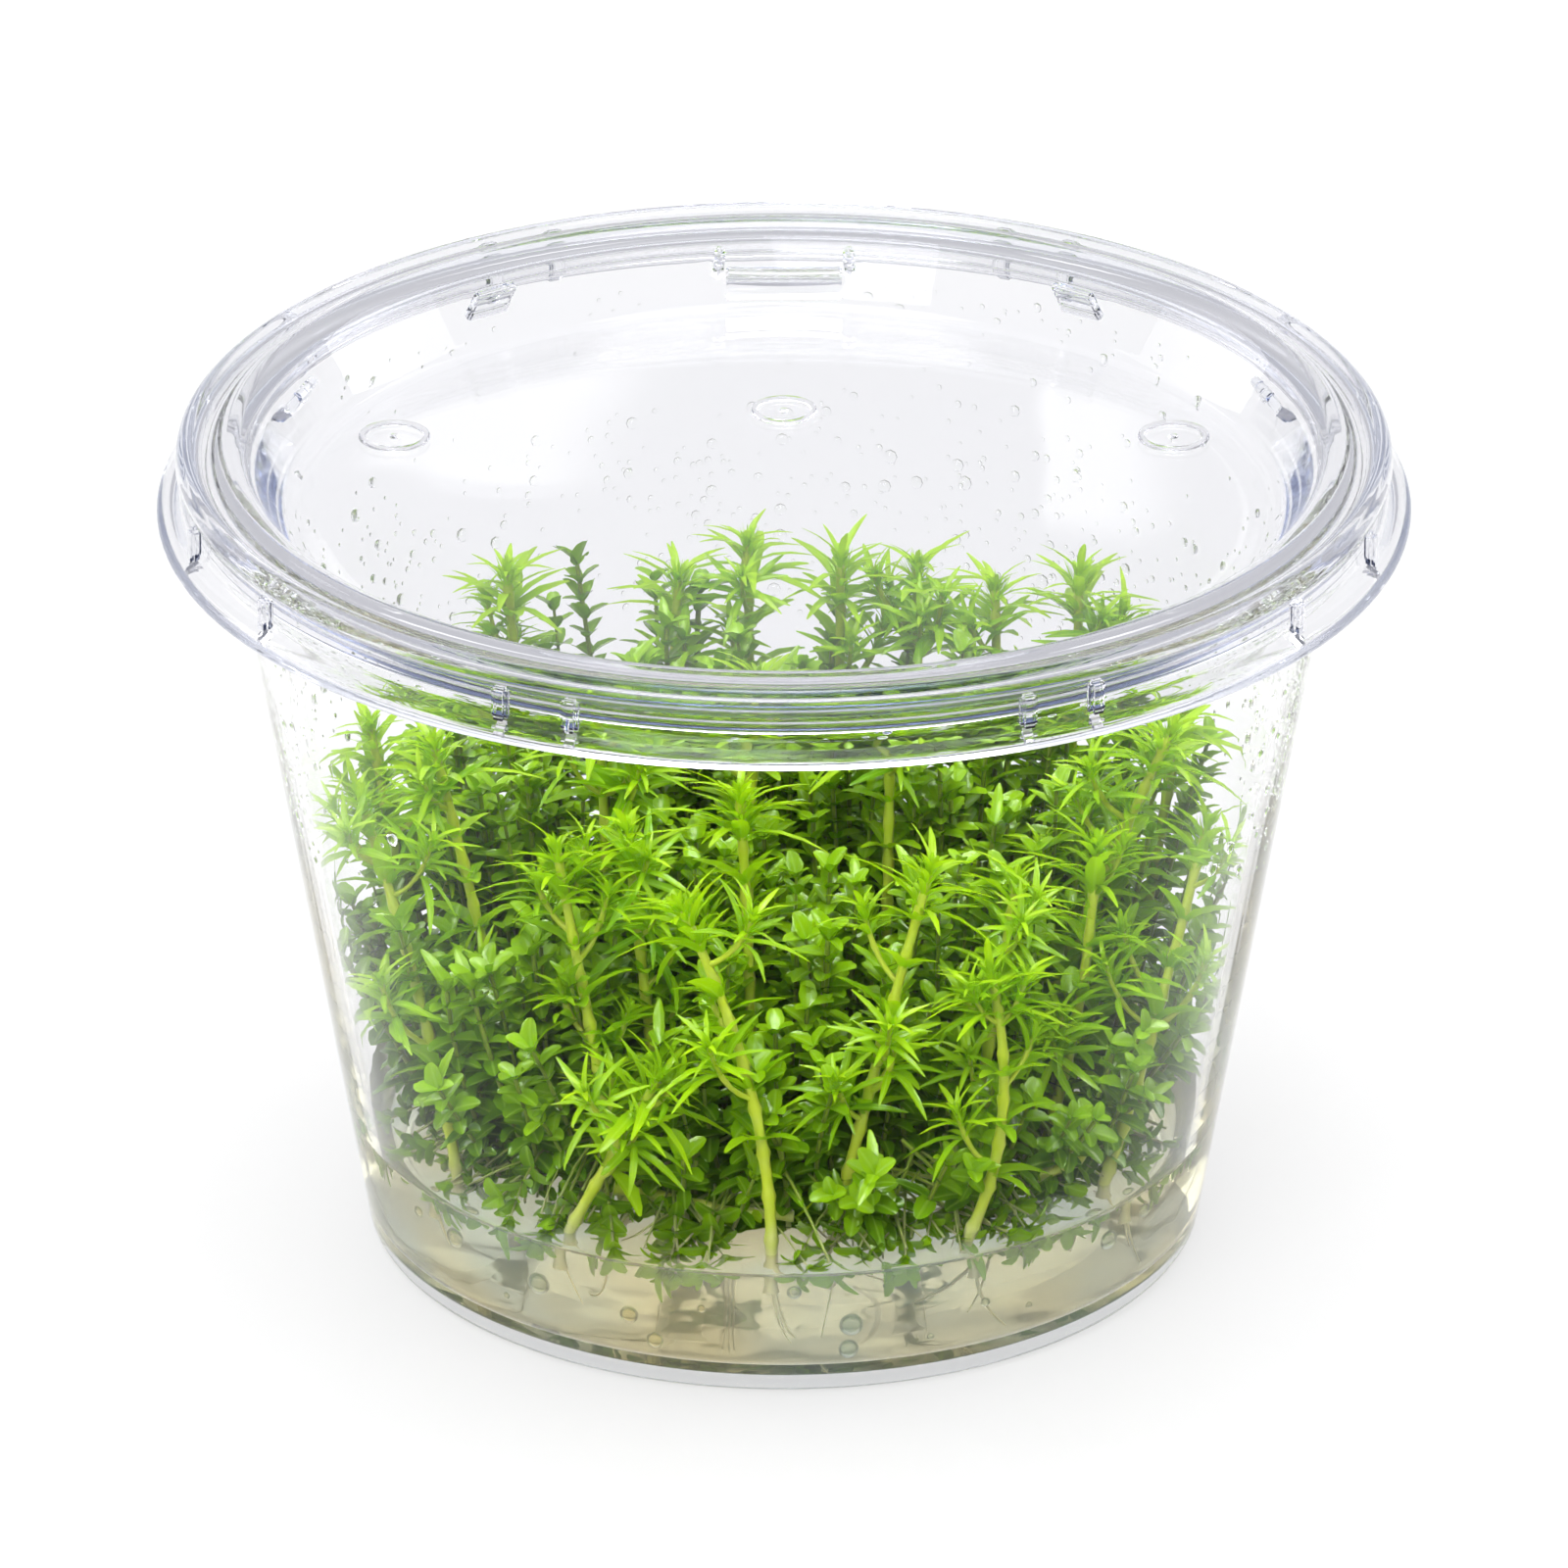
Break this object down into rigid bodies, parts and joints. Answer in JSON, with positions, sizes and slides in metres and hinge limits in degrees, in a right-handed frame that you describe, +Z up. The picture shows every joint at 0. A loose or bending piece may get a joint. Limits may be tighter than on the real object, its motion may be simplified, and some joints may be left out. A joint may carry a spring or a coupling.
{
  "type": "lidded culture cup of wayanad rotala",
  "caption": "Clear lidded plastic cup of wayanad rotala, a small-leaved aquarium stem plant: tall leafy shoots over a carpet of low tufts, rooted in clear pale nutrient gel.",
  "frame": {"origin": "centre of the circle that the cup's foot ring stands on", "axes": "+Z up out of the cup's mouth; -Y is the front of the culture, with the tab of the lid at the back (+Y); +X is to the right seen from the front"},
  "size_m": [0.1, 0.1, 0.0685],
  "materials": {
    "clear_cup": "clear gloss",
    "clear_lid": "clear gloss",
    "gel": "clear, wet",
    "shoot_green": "glossy leaf",
    "tuft_green": "glossy leaf",
    "runner_green": "satin stem"
  },
  "bodies": {
    "root": {"cup": "clear_cup", "lid": "clear_lid", "gel": "gel", "shoot_01": "shoot_green", "shoot_02": "shoot_green", "shoot_03": "shoot_green", "shoot_04": "shoot_green", "shoot_05": "shoot_green", "shoot_06": "shoot_green", "shoot_07": "shoot_green", "shoot_08": "shoot_green", "shoot_09": "shoot_green", "shoot_10": "shoot_green", "shoot_11": "shoot_green", "shoot_12": "shoot_green", "shoot_13": "shoot_green", "shoot_14": "shoot_green", "shoot_15": "shoot_green", "shoot_16": "shoot_green", "shoot_17": "shoot_green", "shoot_18": "shoot_green", "shoot_19": "shoot_green", "shoot_20": "shoot_green", "shoot_21": "shoot_green", "shoot_22": "shoot_green", "shoot_23": "shoot_green", "shoot_24": "shoot_green", "shoot_25": "shoot_green", "tuft_01": "tuft_green", "tuft_02": "tuft_green", "tuft_03": "tuft_green", "tuft_04": "tuft_green", "tuft_05": "tuft_green", "tuft_06": "tuft_green", "tuft_07": "tuft_green", "tuft_08": "tuft_green", "tuft_09": "tuft_green", "tuft_10": "tuft_green", "tuft_11": "tuft_green", "tuft_12": "tuft_green", "tuft_13": "tuft_green", "tuft_14": "tuft_green", "tuft_15": "tuft_green", "tuft_16": "tuft_green", "tuft_17": "tuft_green", "tuft_18": "tuft_green", "tuft_19": "tuft_green", "runner_front": "runner_green", "runner_right": "runner_green"}
  },
  "joints": []
}
